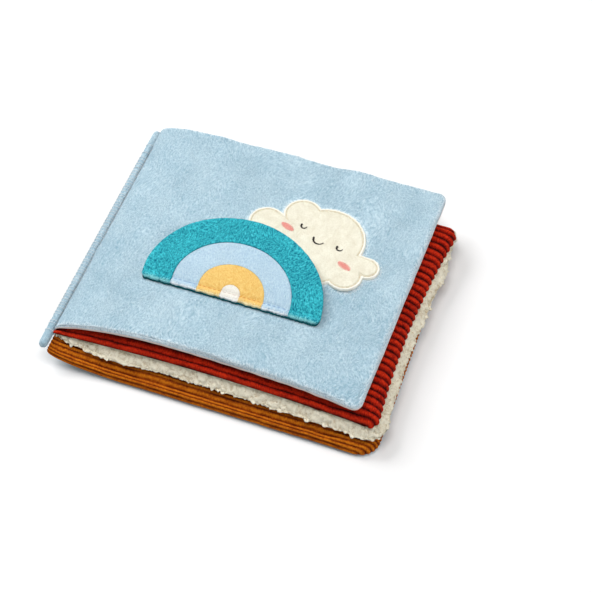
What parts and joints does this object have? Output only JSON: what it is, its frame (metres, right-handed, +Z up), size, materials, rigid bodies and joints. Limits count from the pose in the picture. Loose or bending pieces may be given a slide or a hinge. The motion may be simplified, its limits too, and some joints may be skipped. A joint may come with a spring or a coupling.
{
  "type": "crinkle cloth book",
  "caption": "Soft cloth book for a baby: padded plush, corduroy and fleece leaves that turn on a corded spine, with a rainbow flap to lift on the front cover.",
  "frame": {"origin": "middle of the back cover's flat, where the closed book rests on a table", "axes": "+X from the spine to the fore edge, +Y from the tail to the head of the leaves, +Z up through the closed book"},
  "size_m": [0.2315, 0.196, 0.045],
  "materials": {
    "blue_plush": "short brushed plush, matt",
    "cream_lining": "smooth woven cotton, matt",
    "red_corduroy": "wide-wale corduroy, matt",
    "cream_fleece": "curly sherpa fleece, matt",
    "amber_corduroy": "corduroy with ribs about 3 mm apart, matt",
    "spine_cloth": "plush rolled over a cord, matt",
    "padding": "polyester wadding",
    "crinkle_film": "thin crinkled film",
    "cloud_velvet": "short velvet, matt",
    "dark_thread": "embroidery thread, low sheen",
    "coral_thread": "satin-stitched embroidery",
    "flap_backing": "plain woven cloth, matt",
    "white_plush": "short plush, matt",
    "yellow_plush": "short plush, matt",
    "sky_plush": "short plush, matt",
    "teal_plush": "short plush, matt"
  },
  "bodies": {
    "back_cover": {"back_cover_plush": "blue_plush", "back_cover_corduroy": "amber_corduroy", "back_cover_padding": "padding", "back_cover_crinkle_film": "crinkle_film", "spine_cord": "spine_cloth"},
    "middle_leaf": {"middle_leaf_corduroy": "red_corduroy", "middle_leaf_fleece": "cream_fleece", "middle_leaf_padding": "padding", "middle_leaf_crinkle_film": "crinkle_film"},
    "front_cover": {"front_cover_plush": "blue_plush", "front_cover_lining": "cream_lining", "front_cover_padding": "padding", "front_cover_crinkle_film": "crinkle_film", "cloud_applique": "cloud_velvet", "cloud_left_eye": "dark_thread", "cloud_right_eye": "dark_thread", "cloud_smile": "dark_thread", "cloud_left_cheek": "coral_thread", "cloud_right_cheek": "coral_thread", "flap_sewn_hem": "teal_plush"},
    "rainbow_flap": {"rainbow_backing": "flap_backing", "rainbow_crinkle_film": "crinkle_film", "rainbow_white_centre": "white_plush", "rainbow_yellow_arch": "yellow_plush", "rainbow_sky_arch": "sky_plush", "rainbow_teal_arch": "teal_plush"}
  },
  "joints": [
    {"name": "middle_leaf_hinge", "type": "hinge", "parent": "back_cover", "child": "middle_leaf", "pos_m": [-0.112, 0, 0.01835], "axis": [0, -1, 0], "range_deg": [0, 180]},
    {"name": "front_cover_hinge", "type": "hinge", "parent": "middle_leaf", "child": "front_cover", "pos_m": [-0.112, 0, 0.01835], "axis": [0, -1, 0], "range_deg": [0, 180]},
    {"name": "rainbow_flap_hinge", "type": "hinge", "parent": "front_cover", "child": "rainbow_flap", "pos_m": [-0.0063, -0.0265, 0.0403], "axis": [1, 0, 0], "range_deg": [0, 165]}
  ]
}
